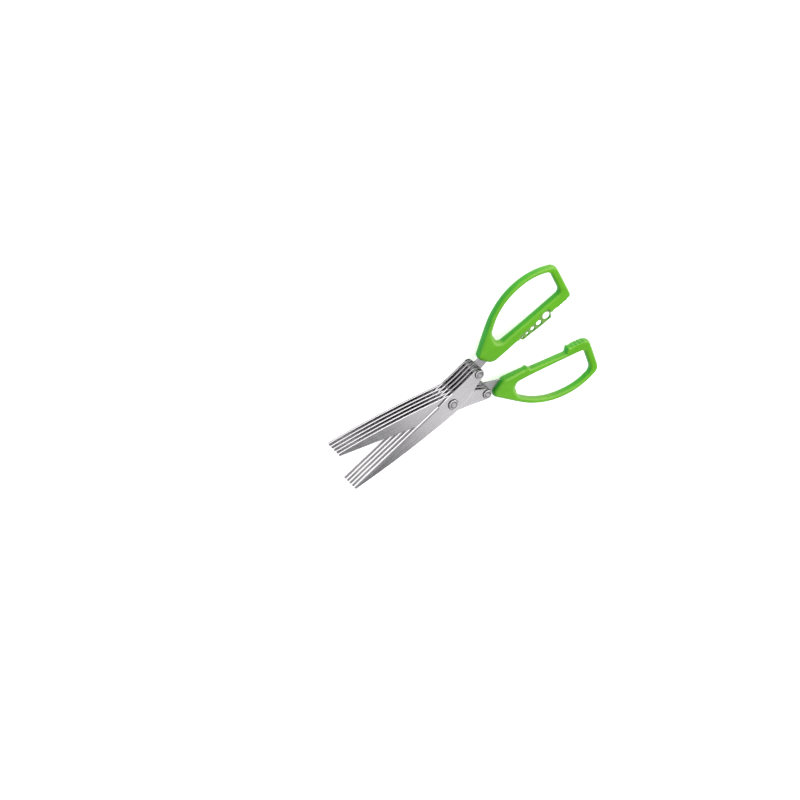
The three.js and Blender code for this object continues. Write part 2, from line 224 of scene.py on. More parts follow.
# Finishes of each kind of piece, in the order of its material slots
BLADE_FINISHES = ("flat", "bevel", "honed_highlight", "side", "torn_painted_shade", "tail_painted_shade", "dark", "tang_side_painted_shade")
FLAT, BEVEL_PAINTED_SHADE, HONED_HIGHLIGHT, BURNISHED_HIGHLIGHT, TORN_PAINTED_SHADE, TAIL_PAINTED_SHADE, END_PAINTED_SHADE, TANG_SIDE_PAINTED_SHADE = range(len(BLADE_FINISHES))
# A rivet's head, then the steels that paint shade in its groove and on its wall.
RIVET_FINISHES = ("head", "torn_painted_shade", "dark")
HANDLE_FINISHES = {"a": ("plastic", "plate"), "b": ("plastic",)}
CREASES = {"blade_steel": 25, "rivet_steel": 40, "spacer_steel": 25, "handle_plastic": 38}

# Grain of a steel: how far its noise is stretched along each axis of the blade
GRAIN_ALONG = (0.045, 3.6, 3.6)
GRAIN_ACROSS = (3.2, 0.12, 0.12)
GRAIN_UPRIGHT = (2.6, 2.6, 0.25)
GRAIN_TORN = (2.2, 2.2, 0.8)
# Each steel's name, shade, roughness, grain, depth of the grain, rubbing and shade of its darkest lines
STEELS = {
    "flat": ("Ground blade face", 1.0, 0.25, GRAIN_ALONG, 0.003, 0.6, 0.96),
    # Painted shade: the bevel steel is darkened.
    "bevel": ("Ground bevel in painted shade", 0.42, 0.28, GRAIN_ACROSS, 0.004, 0.3, 0.85),
    # Painted highlight: the honed band is brighter than any steel.
    "honed_highlight": ("Honed edge with painted highlight", 1.42, 0.3, GRAIN_ACROSS, 0.002, 0.3, 0.95),
    # The smooth sheared band is burnished, and brightened further as a painted highlight.
    "side": ("Burnished blade side with painted highlight", 1.34, 0.45, GRAIN_UPRIGHT, 0.01, 0.4, 0.88),
    # The torn band is rough, and darkened further as painted shade.
    "torn_painted_shade": ("Torn side and groove in painted shade", 0.3, 0.55, GRAIN_TORN, 0.03, 0.5, 0.6),
    "head": ("Pressed rivet", 0.86, 0.3, (1.4, 1.4, 1.4), 0.008, 0.4, 0.88),
    # The ring steel's colour is darkened as painted shade.
    "ring": ("Turned ring in painted shade", 1.0, 0.38, (2.4, 2.4, 0.4), 0.02, 0.5, 0.75),
    # Painted shade: the tail of the middle blade is darker than the flats, and a little rougher.
    "tail_painted_shade": ("Tang tail in painted shade", 0.76, 0.32, GRAIN_ALONG, 0.003, 0.6, 0.96),
    # Painted shade: nearly black steel for the tang ends and the rivet head walls.
    "dark": ("Tang ends and rivet walls in painted shade", 0.04, 0.5, GRAIN_TORN, 0.02, 0.5, 0.6),
    # Painted shade: the smooth sheared band, darker along the tangs.
    "tang_side_painted_shade": ("Sheared tang side in painted shade", 0.62, 0.45, GRAIN_UPRIGHT, 0.01, 0.4, 0.88),
}
# The finishes, once the operator has made them
FINISHES = {}

# Stage, in metres and watts, with the photo's width and focal length in pixels
ROOM_COLOUR = (0.97, 0.98, 1.0, 1.0)
ROOM_STRENGTH = 0.2
FLOOR_CELLS = 12
MIDDLE = (-0.02, 0, 0.01)
WHITE = (1.0, 1.0, 1.0)
# Each light's place, aim, width, depth, power and colour
LIGHTS = {
    "tent light": ((0, -0.9, 2.0), (0, -0.9, 0), 3.8, 3.2, 34.0, WHITE),
    "key light": ((-0.9, -0.06, 0.85), MIDDLE, 0.8, 0.7, 4.5, (1.0, 0.99, 0.97)),
    "crest light": ((-0.22, -0.59, 1.01), MIDDLE, 0.6, 0.45, 2.0, WHITE),
    "side light": ((0.85, -0.45, 0.75), MIDDLE, 0.7, 0.6, 3.0, WHITE),
    "rim light": ((-0.75, 1.35, 0.55), MIDDLE, 1.3, 0.6, 7.0, WHITE),
    "sheen light": ((-0.05, 0.158, 0.2), (-0.004, 0.002, 0.01), 0.075, 0.22, 0.04, WHITE),
    "fill light": ((-0.9, -1.4, 0.45), MIDDLE, 1.4, 0.8, 11.0, WHITE),
}
UNREFLECTED = "fill light"
PHOTO_WIDTH = 800
PHOTO_FOCUS = 7009.99
SENSOR_WIDTH = 36.0
CAMERA_PLACE = (0.909183, -2.984600, 3.625189)
CAMERA_TURN = (-31.002932, -27.535622, 158.943548)
CAMERA_CLIP = (0.1, 60.0)

STACK_MIDDLE = sum((corner.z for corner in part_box("pivot_rivet")), 0.0) / 2 / MM


def half_matrix(letter):
    """Where the blade frame of a half lies in the row frame."""
    raised = Matrix.Translation((0, 0, STACK_MIDDLE))
    angle = math.radians(OPEN_ANGLE / 2)
    if letter == "a":
        return raised @ Matrix.Rotation(angle, 4, "Z")
    return raised @ Matrix.Rotation(-angle, 4, "Z") @ Matrix.Rotation(math.pi, 4, "X")


def heights(node, letter):
    """The lowest and highest z of a CAD node in the blade frame of its half."""
    low, high = (corner.z / MM - STACK_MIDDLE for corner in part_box(node))
    return (low, high) if letter == "a" else (-high, -low)


# Outlines


def eased(share):
    """A share kept from 0 to 1, with a soft start and end."""
    share = min(max(share, 0.0), 1.0)
    return share * share * (3 - 2 * share)


def quadratic(start, control, end, steps):
    """Points of a quadratic curve, without its end."""
    points = []
    for step in range(steps):
        t = step / steps
        points.append(tuple(
            (1 - t) ** 2 * a + 2 * t * (1 - t) * b + t * t * c
            for a, b, c in zip(start, control, end)
        ))
    return points


def divided(start, end, spacing):
    """Points along a straight line, without its end."""
    steps = max(1, math.ceil(math.dist(start, end) / spacing))
    return [tuple(a + (b - a) * step / steps for a, b in zip(start, end)) for step in range(steps)]


def divided_route(route):
    """Points along a line with corners, without its end."""
    return [point for a, b in zip(route, route[1:]) for point in divided(a, b, LINE_SPACING)]


def softened(points, fixed, rounds):
    """Evens out the corners of a closed outline, apart from the points in fixed."""
    xy = np.array(points, float)
    loose = np.array([index not in fixed for index in range(len(xy))])
    for _ in range(rounds):
        mean = (np.roll(xy, 1, axis=0) + np.roll(xy, -1, axis=0)) / 2
        xy[loose] += 0.5 * (mean - xy)[loose]
    return [tuple(p) for p in xy]


def corner_turns(corners, closed):
    """The way in, the turn and the reach of the rounding at each corner."""
    count = len(corners)
    turns = []
    for index, (x, y, radius, *_) in enumerate(corners):
        at = Vector((x, y))
        into = at - Vector(corners[index - 1][:2])
        out = Vector(corners[(index + 1) % count][:2]) - at
        turn = math.atan2(into.x * out.y - into.y * out.x, into.dot(out))
        if not closed and index in (0, count - 1):
            radius = 0
        turns.append([at, into, out, turn, radius * math.tan(abs(turn) / 2)])
    reaches = []
    for index, (_, into, out, _, wanted) in enumerate(turns):
        before, after = turns[index - 1][4], turns[(index + 1) % count][4]
        fit = min(1, into.length / max(before + wanted, 1e-9), out.length / max(wanted + after, 1e-9))
        reaches.append(wanted * fit)
    return [(*turn[:4], reach) for turn, reach in zip(turns, reaches)]


def rounded(corners, spacing, bow=0.0, closed=True, limit=100.0):
    """Sides of a polygon of (x, y, rounding, edge radius) corners, each an arc and the line after it.

    A corner may have two edge radii, for where its arc starts and ends. Limit is the most that they may be,
    as a share of the rounding.
    """
    turns = corner_turns(corners, closed)
    arcs = []
    for (at, into, _, turn, reach), corner in zip(turns, corners):
        if reach < 1e-6:
            arcs.append([(at.x, at.y, corner[-1])])
            continue
        way = into.normalized()
        radius = reach / math.tan(abs(turn) / 2)
        start = at - way * reach
        centre = start + Vector((-way.y, way.x)) * math.copysign(radius, turn)
        steps = max(3, math.ceil(max(abs(turn) / ARC_STEP, abs(turn) * radius / spacing)))
        first, last = (min(edge, limit * radius) for edge in (corner[3], corner[-1]))
        arcs.append([])
        for step in range(steps + 1):
            spoke = start - centre
            spoke.rotate(Matrix.Rotation(turn * step / steps, 2))
            arcs[-1].append((*(centre + spoke), first + (last - first) * step / steps))
    sides = []
    for index, points in enumerate(arcs):
        side = list(points)
        if closed or index < len(arcs) - 1:
            a, b = points[-1], arcs[(index + 1) % len(arcs)][0]
            length = math.dist(a[:2], b[:2])
            steps = max(1, math.ceil(length / spacing))
            outward = Vector((a[1] - b[1], b[0] - a[0])) * 4 * bow
            for step in range(1, steps):
                t = step / steps
                side.append((
                    a[0] + (b[0] - a[0]) * t + outward.x * t * (1 - t),
                    a[1] + (b[1] - a[1]) * t + outward.y * t * (1 - t),
                    a[2] + (b[2] - a[2]) * eased(t),
                ))
        sides.append(side)
    return sides


def spaced(sides):
    """The points of all sides in one loop, without those that nearly touch the one before."""
    loop = []
    for side in sides:
        for point in side:
            if not loop or math.dist(point[:2], loop[-1][:2]) > TOUCHING:
                loop.append(point)
    return loop if math.dist(loop[0][:2], loop[-1][:2]) > TOUCHING else loop[:-1]


def edge_height(side, x):
    """Height of a side of an outline over x, where the side runs from low x to high x."""
    xs = [point[0] for point in side]
    return float(np.interp(x, xs, [point[1] for point in side]))


def with_notch(side, notch):
    """A side that runs from low x to high x, with the part that notch spans replaced by it."""
    low, high = notch[0][0], notch[-1][0]
    return [p for p in side if p[0] < low] + notch + [p for p in side if p[0] > high]


def arc(centre, radius, angles):
    """Points of a circle at angles in radians."""
    x, y = centre
    return [(x + radius * math.cos(angle), y + radius * math.sin(angle)) for angle in angles]


def circle(centre, radius, sides):
    """Points of a whole circle, counterclockwise."""
    return arc(centre, radius, [2 * math.pi * k / sides for k in range(sides)])


def inward_ways(points, is_hole):
    """Ways into the material at each point of a loop, longer at corners so that both sides move evenly."""
    xy = np.array([p[:2] for p in points], float)
    nxt = np.roll(xy, -1, axis=0)
    area = float(np.sum(xy[:, 0] * nxt[:, 1] - nxt[:, 0] * xy[:, 1]))
    turn = (1 if area > 0 else -1) * (-1 if is_hole else 1)
    way = nxt - xy
    way /= np.maximum(np.linalg.norm(way, axis=1, keepdims=True), 1e-12)
    normal = np.stack([-way[:, 1], way[:, 0]], axis=1) * turn
    total = normal + np.roll(normal, 1, axis=0)
    total /= np.maximum(np.linalg.norm(total, axis=1, keepdims=True), 1e-12)
    share = np.clip(np.sum(total * normal, axis=1, keepdims=True), 0.5, 1)
    return total / share


# Meshes


def inside(points, loops):
    """Which points lie inside the loops, by the even-odd rule."""
    result = np.zeros(len(points), bool)
    px, py = points[:, 0], points[:, 1]
    for loop in loops:
        ring = np.array([p[:2] for p in loop], float)
        for (x0, y0), (x1, y1) in zip(ring, np.roll(ring, -1, axis=0)):
            if y0 == y1:
                continue
            crosses = (y0 > py) != (y1 > py)
            result ^= crosses & (px < (x1 - x0) * (py - y0) / (y1 - y0) + x0)
    return result


def cap_triangles(loops, spacing):
    """Triangles between loops of (x, y) points, with loose points inside where spacing isn't zero."""
    row_share, clear_share, tolerance = 0.866, 0.55, 1e-7
    coords = [Vector(p[:2]) for loop in loops for p in loop]
    lines, first = [], 0
    for loop in loops:
        count = len(loop)
        lines += [(first + k, first + (k + 1) % count) for k in range(count)]
        first += count
    loose = []
    if spacing:
        rim = np.array([tuple(c) for c in coords])
        low, high = rim.min(0), rim.max(0)
        xs = np.arange(low[0], high[0], spacing)
        ys = np.arange(low[1], high[1], spacing * row_share)
        grid = np.array([(x + (row % 2) * spacing / 2, y) for row, y in enumerate(ys) for x in xs])
        grid = grid[inside(grid, loops)]
        far = [np.min(np.hypot(*(rim - p).T)) > spacing * clear_share for p in grid]
        loose = [Vector(p) for p in grid[np.array(far, bool)]]
    verts, _, faces, origin, _, _ = delaunay_2d_cdt(coords + loose, lines, [], 0, tolerance)
    names = [min(o) for o in origin]
    if faces:
        centres = np.array([sum((verts[i] for i in f), Vector((0, 0))) / 3 for f in faces])
        keep = inside(centres, loops)
        faces = [[names[i] for i in f] for f, ok in zip(faces, keep) if ok]
    return faces, [tuple(p) for p in loose]


class Shell:
    """Collects the points and faces of a piece in its own blade frame, in millimetres."""

    def __init__(self):
        self.points, self.edges, self.faces, self.slots = [], [], [], []

    def point(self, x, y, z, edge=0.0):
        self.points.append((x, y, z))
        self.edges.append(edge)
        return len(self.points) - 1

    def face(self, corners, slot=0):
        self.faces.append(corners)
        self.slots.append(slot)

    def skin(self, loops, spacing=0.0, height=None, slot=0, slot_of=None):
        """Skins loops of columns of (x, y, z, edge) points, from the bottom cap's rim to the top cap's rim.

        All faces have one finish, unless slot_of gives those of the sides their own.
        """
        rings = len(loops[0][0])
        grids = [[[self.point(*p) for p in column] for column in loop] for loop in loops]
        for loop, grid in zip(loops, grids):
            for k, column in enumerate(grid):
                after = (k + 1) % len(grid)
                following = grid[after]
                for ring in range(rings - 1):
                    corners = [column[ring], following[ring], following[ring + 1], column[ring + 1]]
                    self.face(corners, slot_of(loop[k], loop[after], ring) if slot_of else slot)
        for ring, flip in ((0, True), (rings - 1, False)):
            rims = [[column[ring] for column in loop] for loop in loops]
            triangles, loose = cap_triangles(rims, spacing)
            ids = [column[ring] for grid in grids for column in grid]
            level = rims[0][0][2]
            for x, y in loose:
                z = height(x) * (-1 if flip else 1) if height else level
                ids.append(self.point(x, y, z))
            for triangle in triangles:
                self.face([ids[i] for i in triangle], slot)

    def lathe(self, profile, centre, closed=False, slots=None):
        """Turns a profile of (radius, z, edge) points about an upright axis.

        Slots are the finishes of single strips, by the place in the profile where they start.
        """
        grid = []
        for k in range(ROUND_SIDES):
            angle = 2 * math.pi * k / ROUND_SIDES
            column = []
            for radius, z, edge in profile:
                x, y = centre[0] + radius * math.cos(angle), centre[1] + radius * math.sin(angle)
                column.append(self.point(x, y, z, edge))
            grid.append(column)
        spans = len(profile) if closed else len(profile) - 1
        for a, b in zip(grid, grid[1:] + grid[:1]):
            for ring in range(spans):
                other = (ring + 1) % len(profile)
                self.face([a[ring], b[ring], b[other], a[other]], (slots or {}).get(ring, 0))


def make_piece(part, letter, shell, centre, slot, finishes):
    """Puts a shell in the place of a CAD part, with the place and edge values that the finishes read."""
    mesh = bpy.data.meshes.new(f"fine_{part}")
    mesh.from_pydata(shell.points, [], shell.faces)
    for finish in finishes:
        mesh.materials.append(FINISHES[finish])
    mesh.polygons.foreach_set("material_index", shell.slots)
    place = mesh.attributes.new("place", "FLOAT_VECTOR", "POINT")
    places = np.array(shell.points) - np.array([*centre, 0.0])
    place.data.foreach_set("vector", places.astype(np.float32).ravel())
    edge = mesh.attributes.new("edge", "FLOAT", "POINT")
    edge.data.foreach_set("value", np.array(shell.edges, np.float32))
    work = bmesh.new()
    work.from_mesh(mesh)
    bmesh.ops.remove_doubles(work, verts=work.verts, dist=1e-5)
    bmesh.ops.recalc_face_normals(work, faces=work.faces)
    work.to_mesh(mesh)
    work.free()
    mesh.transform(Matrix.Diagonal((MM, MM, MM, 1)) @ half_matrix(letter))
    mesh.polygons.foreach_set("use_smooth", [True] * len(mesh.polygons))
    mesh.set_sharp_from_angle(angle=math.radians(CREASES[slot]))
    mesh.update()
    piece = bpy.data.objects.new(f"fine_{part}", mesh)
    bpy.context.scene.collection.objects.link(piece)
    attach(piece, f"half_{letter}")
    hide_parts(part)


# Blades


def tail_corners():
    """Corners of the plate behind the middle blade's tang, which the handle is moulded on."""
    reach = HANDLE_START + TAIL_DEPTH
    return [
        (-reach, -TAIL_INNER_DROP),
        (-reach, -TAIL_INNER_DROP - TAIL_WIDTH),
        (-TANG_REACH, -TANG_DROP - TANG_END_RADIUS),
    ]


def blade_outline(has_tail):
    """Outline of a blade counterclockwise from the heel, and where the ground edge ends in it."""
    heel = (HEEL_REACH, -HEEL_DROP)
    tip = (BLADE_REACH, -TIP_DROP)
    points = divided(heel, tip, EDGE_SPACING) + [tip]
    ground = len(points)
    points.append((BLADE_REACH, -TIP_DROP + GRIND_WIDTH + TIP_LAND))
    top = TIP_WIDTH - TIP_DROP
    angles = [math.radians(angle) for angle in range(CORNER_DEGREES, 90, CORNER_DEGREES)]
    points += arc((BLADE_REACH - TIP_CORNER, top - TIP_CORNER), TIP_CORNER, angles)
    fixed = set(range(len(points)))
    bend = (BLADE_REACH * SPINE_BEND_SHARES[0], SPINE_HEIGHT * SPINE_BEND_SHARES[1])
    shoulder = (-SHOULDER_SETBACK, SPINE_HEIGHT)
    points += quadratic((BLADE_REACH - TIP_CORNER, top), bend, shoulder, SPINE_STEPS)
    tang_bend = (-TANG_BEND[0], TANG_BEND[1])
    points += divided(shoulder, tang_bend, LINE_SPACING)
    tang_top = (-TANG_REACH, -TANG_DROP + TANG_END_RADIUS)
    curve = (-TANG_REACH * TANG_CURVE_SHARES[0], -TANG_DROP * TANG_CURVE_SHARES[1])
    points += quadratic(tang_bend, curve, tang_top, TANG_STEPS)
    if has_tail:
        points += divided_route([tang_top, *tail_corners()])
    else:
        angles = [math.pi * (0.5 + step / END_STEPS) for step in range(END_STEPS)]
        points += arc(TANG, TANG_END_RADIUS, angles)
    foot = (HEEL_REACH, -HEEL_DROP + HEEL_STEP)
    points += divided_route([
        (-TANG_REACH, -TANG_DROP - TANG_END_RADIUS),
        (-TANG_REACH * TANG_WAIST_SHARE, -TANG_WAIST_DROP),
        (0, -BELLY_DROP),
        foot,
    ])
    fixed.add(len(points))
    points.append(foot)
    return softened(points, fixed, SOFTENING), ground


def ground_column(at, way, across, is_tip, levels, wear):
    """Column of the cutting edge: a narrow land, then the bevel up to the top face."""
    (x, y), (wx, wy), (bottom, _, top) = at, way, levels
    fade, land = wear + FADE_WIDTH, bottom + EDGE_LAND
    start = Vector((x, y)) + across * GRIND_WIDTH
    after = Vector((x, y)) + across * (GRIND_WIDTH + FADE_WIDTH)
    if is_tip:
        start.x, after.x = x - wear, x - fade
    honed_highlight, plain = (
        (x + (start.x - x) * share, y + (start.y - y) * share, land + (top - land) * share)
        for share in HONED_HIGHLIGHT_SHARES
    )
    return [
        (x + wx * fade, y + wy * fade, bottom, 0.0),
        (x + wx * wear, y + wy * wear, bottom, 1.0),
        *((x, y, bottom + share * wear, 1.0) for share in LAND_SHARES),
        (x, y, land, 1.0),
        (*honed_highlight, 1.0),
        (*plain, 0.0),
        (start.x, start.y, top, BEVEL_RUB),
        (after.x, after.y, top, 0.0),
    ]


def sheared_column(at, way, levels, wear, rubs):
    """Column of a sheared side: a broken edge at each face, and the level where its two bands meet."""
    (x, y), (wx, wy), (bottom, shear, top), (rub, band_rub) = at, way, levels, rubs
    fade = wear + FADE_WIDTH
    steps = [
        (fade, bottom, 0.0),
        (wear, bottom, rub),
        (0, bottom + wear, rub),
        (0, shear, band_rub),
        (0, top - wear, rub),
        *((inset * wear, top - fall * wear, rub) for inset, fall in ROUNDING_SHARES),
        (wear, top, rub),
        (fade, top, 0.0),
    ]
    return [(x + wx * inset, y + wy * inset, z, edge) for inset, z, edge in steps]


def blade_columns(has_tail, levels, wear):
    """Columns of a blade's outline and of its two bores, with the ground edge on the top face.

    Levels are the heights of its faces, with the one where a side's two bands meet between them.
    """
    points, ground = blade_outline(has_tail)
    heel, tip = Vector(points[0]), Vector(points[ground - 1])
    along = (tip - heel).normalized()
    across = Vector((-along.y, along.x))
    outer = []
    for index, (point, way) in enumerate(zip(points, inward_ways(points, False))):
        if index < ground:
            outer.append(ground_column(point, way, across, index == ground - 1, levels, wear))
        else:
            outer.append(sheared_column(point, way, levels, wear, SIDE_RUBS))
    loops = [outer]
    for centre, radius in ((PIVOT, PIVOT_SHAFT), (TANG, TANG_SHAFT)):
        bore = []
        for point in circle(centre, radius + BORE_CLEARANCE, BORE_SIDES):
            out = (Vector(point) - Vector(centre)).normalized()
            bore.append(sheared_column(point, out, levels, wear, BORE_RUBS))
        loops.append(bore)
    return loops


def blade_slots(bands):
    """Finish of each strip of a blade's sides, from the finishes of a side's two bands, lower band first.

    The smooth band carries a painted highlight and the torn band painted shade; both get darker painted
    shade at the round tang ends, and the smooth band gets painted shade along the tangs.
    """
    lower, upper, land, last = 2, 3, 4, 6
    ends_in_painted_shade = {BURNISHED_HIGHLIGHT: TORN_PAINTED_SHADE, TORN_PAINTED_SHADE: END_PAINTED_SHADE}

    def slot_of(column, following, ring):
        if not lower <= ring <= last:
            return FLAT
        if all(c[land][2] < c[last + 1][2] - EDGE_LAND for c in (column, following)):
            # The honed band carries a painted highlight, and the rest of the bevel carries painted shade.
            return BEVEL_PAINTED_SHADE if ring > land else HONED_HIGHLIGHT
        if ring > upper:
            return FLAT
        band = bands[ring - lower]
        x = column[upper][0]
        # At the round tang ends both bands get painted shade, the torn band nearly black.
        if -TANG_REACH - TANG_END_RADIUS < x < -TANG_REACH:
            return ends_in_painted_shade[band]
        # Along the tangs the smooth band gets painted shade.
        return TANG_SIDE_PAINTED_SHADE if band == BURNISHED_HIGHLIGHT and x < -TANG_END_RADIUS else band

    return slot_of


def paint_tail_shade(shell):
    """Gives the flat faces of a blade beyond its tang rivet the finish with painted shade."""
    for index, (corners, slot) in enumerate(zip(shell.faces, shell.slots)):
        middle = sum(shell.points[i][0] for i in corners) / len(corners)
        if slot == FLAT and middle < -TANG_REACH:
            shell.slots[index] = TAIL_PAINTED_SHADE


# Handles


def handle_corners(edge):
    """Corners of the outside of a handle, clockwise from its nose, each with its rounding and edge radius."""
    loop = [
        (-HANDLE_START - along * HANDLE_LENGTH, -down * LOOP_DEPTH, turn * LOOP_DEPTH, LOOP_EDGE)
        for along, down, turn in LOOP_CORNER_SHARES
    ]
    return [
        (-HANDLE_START - NOSE_SETBACK, -edge["nose_floor"], NOSE_FLOOR_ROUND, NOSE_FLOOR_EDGE),
        *loop,
        (-HANDLE_END + FAR_SETBACK, edge["far"], edge["far_round"], FAR_EDGE),
        (-HANDLE_START - edge["near_setback"], edge["near"], edge["near_round"], *NEAR_EDGES),
        (-HANDLE_START, -edge["nose_top"], edge["nose_round"], NOSE_EDGE),
    ]


def meeting(first, second):
    """Where two lines meet, each a point and a way."""
    (p, v), (q, w) = first, second
    share = ((q.x - p.x) * w.y - (q.y - p.y) * w.x) / (v.x * w.y - v.y * w.x)
    return p + v * share


def opening_corners(corners, edge):
    """Corners of the finger opening, from the sides of the handle moved in by the width of its bars."""
    bars = {0: LOOP_BAR, 1: LOOP_BAR, 2: LOOP_BAR, 3: END_BAR, INNER_SIDE: edge["bar"], 6: WEB_LENGTH}
    sides = []
    for index, bar in bars.items():
        start = Vector(corners[index][:2])
        way = (Vector(corners[(index + 1) % len(corners)][:2]) - start).normalized()
        sides.append((start + Vector((way.y, -way.x)) * bar, way))
    rounds = [corners[1][2] - LOOP_BAR, corners[2][2] - LOOP_BAR, corners[3][2], *OPENING_ROUNDS]
    found = []
    for index, (turn, radii) in enumerate(zip(rounds, OPENING_EDGES)):
        at = meeting(sides[index], sides[(index + 1) % len(sides)])
        found.append((at.x, at.y, turn, *radii))
    return found


def half_height(x):
    """Half the thickness of a handle at x: thick at the web and thinner round the loop."""
    first, last = (share * HANDLE_LENGTH for share in TAPER_SHARES)
    share = eased((-x - HANDLE_START - first) / (last - first))
    return (WEB_THICKNESS + (LOOP_THICKNESS - WEB_THICKNESS) * share) / 2


def moulded_columns(points, is_hole, height, draft, steps):
    """Columns of a moulded side with rounded edges, from the bottom face's rim to the top face's rim."""
    columns = []
    for (x, y, radius), (wx, wy) in zip(points, inward_ways(points, is_hole)):
        tall = height(x)
        fall = min(radius * EDGE_FALL_SHARE, tall * FALL_LIMIT_SHARE)
        upper = []
        for step in range(steps + 1):
            angle = math.pi / 2 * step / steps
            inset = draft + radius * (1 - math.cos(angle))
            rise = tall - fall + fall * math.sin(angle)
            # The rub peaks near the crest of the rounding, where the plastic's painted highlight goes.
            rub = CREST_RUB_AND_HIGHLIGHT * math.sin(angle) ** 2 * math.cos(angle)
            upper.append((x + wx * inset, y + wy * inset, rise, rub))
        lower = [(px, py, -z, edge) for px, py, z, edge in reversed(upper)]
        columns.append([*lower, (x, y, 0.0, 0.0), *upper])
    return columns


def grip_notch(side, x):
    """One groove of the grip teeth, on a side that runs from low x to high x."""
    radius, depth, edge = GRIP["radius"], GRIP["depth"], GRIP["edge"]
    middle = edge_height(side, x) + radius - depth
    swing = math.acos((radius - depth) / radius)
    shares = [step / GRIP["steps"] for step in range(GRIP["steps"] + 1)]
    angles = [-math.pi / 2 - swing + 2 * swing * share for share in shares]
    notch = [(*point, edge) for point in arc((x, middle), radius, angles)]
    reach = radius * math.sin(swing) + GRIP["shoulder"]
    before, after = ((at, edge_height(side, at), edge) for at in (x - reach, x + reach))
    return [before, *notch, after]


def notch_path(side, places, rounds):
    """Points of a notch in a side. A place without a height lies on the side."""
    corners = [
        (x, edge_height(side, x) if y is None else y, *values)
        for (x, y), values in zip(places, rounds)
    ]
    path = rounded(corners, NOTCH_SPACING, closed=False)
    return [point for stretch in path for point in stretch]


def pocket_notch(side):
    """The pocket of handle A that the stripper plate stands in, from its far end to its near end."""
    far, near = -STRIPPER_FAR + POCKET_GAP, -STRIPPER_NEAR - POCKET_GAP
    step = -STRIPPER_FAR + STRIPPER_RIM + 2 * STRIPPER_HOLES[0] + STRIPPER_LAND / 2
    return notch_path(side, [
        (far - POCKET_LEADS[0], None),
        (far, None),
        (far, -POCKET_FAR_DROP),
        (step, -POCKET_FAR_DROP),
        (step + POCKET_FAR_DROP - POCKET_DROP, -POCKET_DROP),
        (near, -POCKET_DROP),
        (near, None),
        (near + POCKET_LEADS[1], None),
    ], POCKET_ROUNDS)


def recess_notch(side):
    """The recess of handle B that the stripper plate closes into, from its far end to its near end."""
    near, far = -STRIPPER_NEAR + RECESS_MARGINS[0], -STRIPPER_FAR - RECESS_MARGINS[1]
    return notch_path(side, [
        (far - RECESS_LEAD, None),
        (far, None),
        (far + RECESS_LEAN, -RECESS_DROPS[1]),
        (near - RECESS_LEAN, -RECESS_DROPS[0]),
        (near, None),
        (near + RECESS_LEAD, None),
    ], RECESS_ROUNDS)


def handle_shell(letter, draft):
    """The moulding of a handle, with the stripper plate on handle A."""
    edge = INNER_EDGES[letter]
    corners = handle_corners(edge)
    sides = rounded(corners, OUTLINE_SPACING, SIDE_BOW_SHARE, limit=EDGE_LIMIT_SHARE)
    inner = sides[INNER_SIDE]
    arc_limit = -HANDLE_END + FAR_SPAN + edge["far_round"]
    arc_end = max(index for index, point in enumerate(inner) if point[0] < arc_limit)
    straight = inner[arc_end:]
    notch = pocket_notch(straight) if letter == "a" else recess_notch(straight)
    notched = with_notch(straight, notch)
    for tooth in reversed(range(GRIP["count"])):
        x = -HANDLE_END + GRIP["setback"] + tooth * GRIP["pitch"]
        notched = with_notch(notched, grip_notch(straight, x))
    sides[INNER_SIDE] = inner[:arc_end] + notched
    outline = spaced(sides)
    opening = spaced(rounded(opening_corners(corners, edge), OPENING_SPACING, SIDE_BOW_SHARE))
    shell = Shell()
    shell.skin([
        moulded_columns(outline, False, half_height, draft, EDGE_STEPS),
        moulded_columns(opening, True, half_height, draft, EDGE_STEPS),
    ], CAP_SPACING, half_height)
    if letter == "a":
        add_stripper(shell)
    return shell


def stripper_rise(reach):
    """Height of the stripper's top edge at a distance from the pivot."""
    share = (reach - STRIPPER_NEAR) / (STRIPPER_LENGTH * STRIPPER_TOP_SHARE)
    share = min(max(share, 0.0), 1.0)
    return STRIPPER_HEIGHTS[0] + (STRIPPER_HEIGHTS[1] - STRIPPER_HEIGHTS[0]) * share


def add_stripper(shell):
    """The thin plate with graded holes, standing in the pocket."""
    near, far = -STRIPPER_NEAR, -STRIPPER_FAR
    lean, drop = STRIPPER_CORNER
    low_top, top = STRIPPER_HEIGHTS
    root = -POCKET_FAR_DROP - STRIPPER_ROOT
    places = [
        (near + STRIPPER_ROOT, root),
        (near + STRIPPER_ROOT, -POCKET_DROP),
        (near, INNER_EDGES["a"]["near"]),
        (near - lean, low_top),
        (near - STRIPPER_LENGTH * STRIPPER_TOP_SHARE, top),
        (far + lean, top),
        (far, top - drop),
        (far, root),
    ]
    corners = [(*place, turn, STRIPPER_EDGE) for place, turn in zip(places, STRIPPER_ROUNDS)]
    loops = [(spaced(rounded(corners, PLATE_SPACING, SIDE_BOW_SHARE)), False)]
    reach = STRIPPER_FAR - STRIPPER_RIM
    for radius in STRIPPER_HOLES:
        reach -= radius
        centre = (-reach, stripper_rise(reach) - STRIPPER_RIM - radius)
        hole = [(*point, HOLE_EDGE) for point in circle(centre, radius, HOLE_SIDES)]
        loops.append((hole, True))
        reach -= radius + STRIPPER_LAND
    columns = [
        moulded_columns(points, is_hole, lambda x: STRIPPER_THICKNESS / 2, PLATE_DRAFT, PLATE_STEPS)
        for points, is_hole in loops
    ]
    shell.skin(columns, slot=HANDLE_FINISHES["a"].index("plate"))


# Rivets and rings


